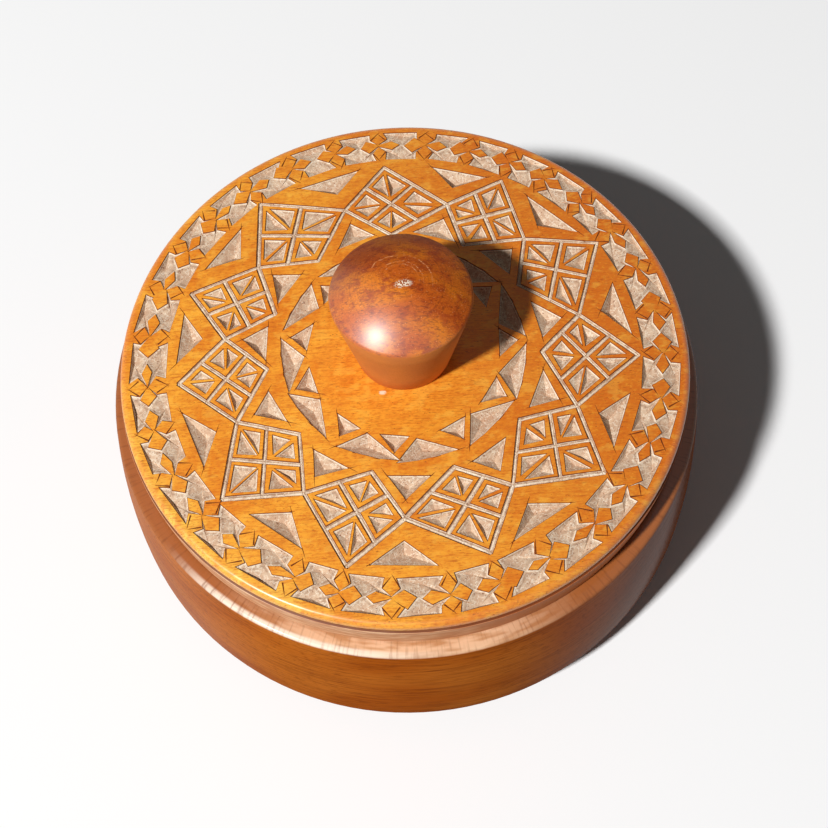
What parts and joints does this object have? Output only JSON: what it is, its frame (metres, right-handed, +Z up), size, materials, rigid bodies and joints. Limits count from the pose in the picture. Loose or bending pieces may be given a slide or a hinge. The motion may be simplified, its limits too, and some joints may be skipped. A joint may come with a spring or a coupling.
{
  "type": "lidded wooden box",
  "caption": "Round turned wooden box with a lift-off lid that seats in its mouth, chip carving all over the lid's top, and a cone-shaped knob.",
  "frame": {"origin": "middle of the flat underside of the box", "axes": "+Z up, along the axis that the box, lid and knob are turned about; -Y is the side that faces the camera"},
  "size_m": [0.1086, 0.1086, 0.0685],
  "materials": {
    "body_wood": "varnished, semi-gloss, dark orange-brown",
    "lid_wood": "varnished, honey orange, with pale filler in the carved cuts",
    "knob_wood": "varnished, glossy, red-brown"
  },
  "bodies": {
    "box": {"box_body": "body_wood"},
    "lid": {"lid": "lid_wood", "knob": "knob_wood"}
  },
  "joints": [
    {"name": "lid_lift", "type": "slide", "parent": "box", "child": "lid", "axis": [0, 0, 1], "range_m": [0, 0.06]}
  ]
}
